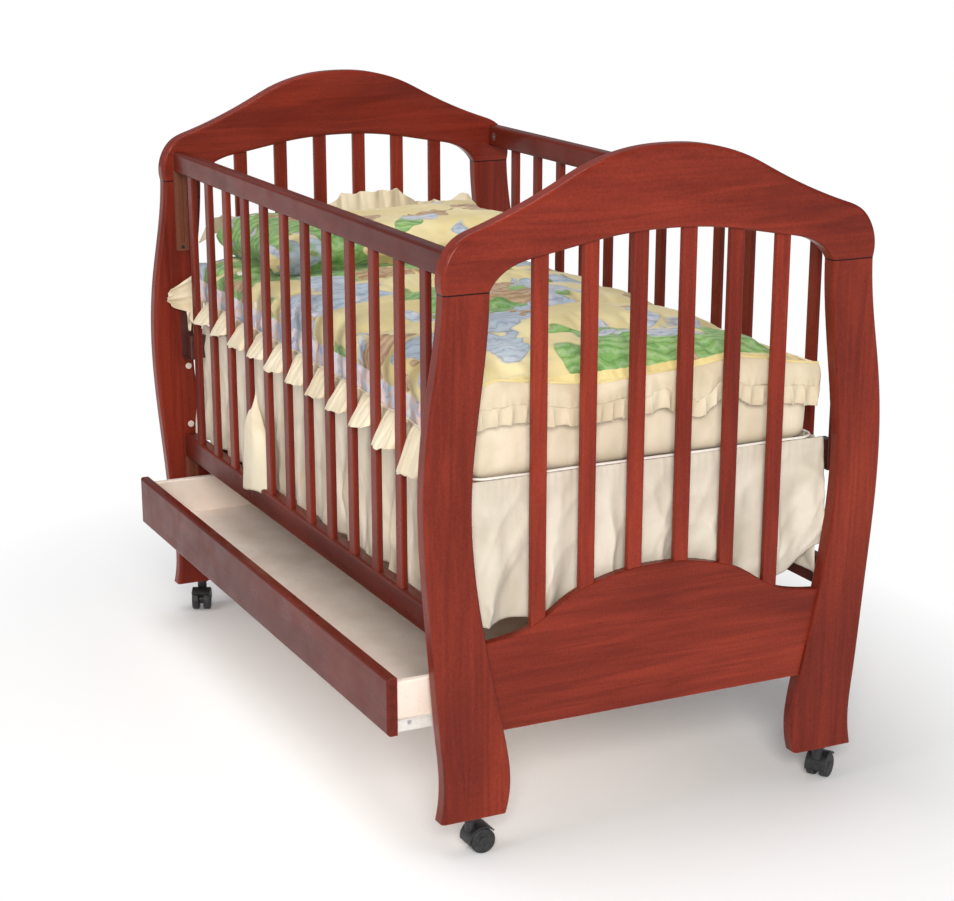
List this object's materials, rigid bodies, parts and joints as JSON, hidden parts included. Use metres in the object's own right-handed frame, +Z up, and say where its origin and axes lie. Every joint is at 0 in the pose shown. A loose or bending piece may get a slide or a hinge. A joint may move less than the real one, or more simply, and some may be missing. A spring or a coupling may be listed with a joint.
{
  "type": "baby crib",
  "caption": "Wooden baby crib with arched slatted ends, a drop-side gate, a roll-out drawer, swivel casters and made-up bedding.",
  "frame": {"origin": "on the floor under the middle of the whole box, with the drawer out as pictured", "axes": "+X along the crib from head to foot, +Y across it from the gate to the fixed side, +Z up"},
  "size_m": [1.2904, 0.833, 1.05],
  "materials": {
    "wood": "satin lacquer over a mahogany stain",
    "plain_wood": "bare planed softwood",
    "drawer_board": "pale faced board",
    "brown_plastic": "matt",
    "pale_plastic": "domed, slightly glossy",
    "steel": "zinc plated",
    "cam_zinc": "bright zinc",
    "runner_white": "white powder coat",
    "roller_white": "smooth nylon",
    "caster_black": "moulded, slightly glossy",
    "caster_steel": "zinc plated",
    "satin_cream": "cream satin",
    "quilt_print": "printed cotton with cream satin ruffles"
  },
  "bodies": {
    "frame": {"head_leg_near": "wood", "head_leg_far": "wood", "foot_leg_near": "wood", "foot_leg_far": "wood", "head_arch": "wood", "foot_arch": "wood", "head_apron": "wood", "foot_apron": "wood", "head_slats": "wood", "foot_slats": "wood", "frame_dowels": "plain_wood", "far_top_rail": "wood", "far_bottom_rail": "wood", "far_slats": "wood", "rail_cam_pins": "steel", "rail_cams": "cam_zinc", "upper_gate_guides": "brown_plastic", "lower_gate_guides": "brown_plastic", "gate_guide_screws": "steel", "base_end_rails": "plain_wood", "base_side_rails": "plain_wood", "base_slats": "plain_wood", "base_rail_screws": "steel", "base_brackets": "steel", "base_bracket_bolts": "steel", "hole_caps": "pale_plastic", "frame_runners": "runner_white", "frame_runner_screws": "steel", "caster_sockets": "caster_steel", "mattress": "satin_cream", "mattress_skirt": "satin_cream", "quilt": "quilt_print", "pillow": "quilt_print"},
    "drawer": {"drawer_front": "wood", "drawer_side_head": "drawer_board", "drawer_side_foot": "drawer_board", "drawer_back": "drawer_board", "drawer_bottom": "drawer_board", "drawer_dowels": "plain_wood", "drawer_screws": "steel", "drawer_runners": "runner_white", "drawer_runner_screws": "steel"},
    "gate": {"gate_top_rail": "wood", "gate_bottom_rail": "wood", "gate_slats": "wood", "gate_guide_pins": "steel"},
    "drawer_rollers": {"drawer_rollers": "roller_white"},
    "frame_rollers": {"frame_rollers": "roller_white"},
    "caster_head_near": {"caster_housing_head_near": "caster_black"},
    "caster_wheels_head_near": {"caster_axle_head_near": "caster_steel", "caster_wheels_head_near": "caster_black"},
    "caster_head_far": {"caster_housing_head_far": "caster_black"},
    "caster_wheels_head_far": {"caster_axle_head_far": "caster_steel", "caster_wheels_head_far": "caster_black"},
    "caster_foot_near": {"caster_housing_foot_near": "caster_black"},
    "caster_wheels_foot_near": {"caster_axle_foot_near": "caster_steel", "caster_wheels_foot_near": "caster_black"},
    "caster_foot_far": {"caster_housing_foot_far": "caster_black"},
    "caster_wheels_foot_far": {"caster_axle_foot_far": "caster_steel", "caster_wheels_foot_far": "caster_black"}
  },
  "joints": [
    {"name": "drawer_slide", "type": "slide", "parent": "frame", "child": "drawer", "axis": [0, -1, 0], "range_m": [-0.123, 0.297]},
    {"name": "gate_slide", "type": "slide", "parent": "frame", "child": "gate", "axis": [0, 0, 1], "range_m": [-0.028, 0]},
    {"name": "drawer_roller_spin", "type": "hinge", "parent": "drawer", "child": "drawer_rollers", "pos_m": [0, 0.1755, 0.2105], "axis": [1, 0, 0], "continuous": true},
    {"name": "frame_roller_spin", "type": "hinge", "parent": "frame", "child": "frame_rollers", "pos_m": [0, -0.2595, 0.2135], "axis": [1, 0, 0], "continuous": true},
    {"name": "caster_swivel_head_near", "type": "hinge", "parent": "frame", "child": "caster_head_near", "pos_m": [-0.625, -0.29215, 0.058], "axis": [0, 0, 1], "continuous": true},
    {"name": "caster_roll_head_near", "type": "hinge", "parent": "caster_head_near", "child": "caster_wheels_head_near", "pos_m": [-0.61242, -0.29829, 0.02], "axis": [-0.4384, -0.8988, 0], "continuous": true},
    {"name": "caster_swivel_head_far", "type": "hinge", "parent": "frame", "child": "caster_head_far", "pos_m": [-0.625, 0.33715, 0.058], "axis": [0, 0, 1], "continuous": true},
    {"name": "caster_roll_head_far", "type": "hinge", "parent": "caster_head_far", "child": "caster_wheels_head_far", "pos_m": [-0.61717, 0.34876, 0.02], "axis": [0.829, -0.5592, 0], "continuous": true},
    {"name": "caster_swivel_foot_near", "type": "hinge", "parent": "frame", "child": "caster_foot_near", "pos_m": [0.625, -0.29215, 0.058], "axis": [0, 0, 1], "continuous": true},
    {"name": "caster_roll_foot_near", "type": "hinge", "parent": "caster_foot_near", "child": "caster_wheels_foot_near", "pos_m": [0.625, -0.27815, 0.02], "axis": [1, 0, 0], "continuous": true},
    {"name": "caster_swivel_foot_far", "type": "hinge", "parent": "frame", "child": "caster_foot_far", "pos_m": [0.625, 0.33715, 0.058], "axis": [0, 0, 1], "continuous": true},
    {"name": "caster_roll_foot_far", "type": "hinge", "parent": "caster_foot_far", "child": "caster_wheels_foot_far", "pos_m": [0.61717, 0.34876, 0.02], "axis": [0.829, 0.5592, 0], "continuous": true}
  ],
  "couplings": [
    {"joint": "drawer_roller_spin", "follows": "drawer_slide", "rad_per_m": 111.11},
    {"joint": "frame_roller_spin", "follows": "drawer_slide", "rad_per_m": 111.11}
  ]
}
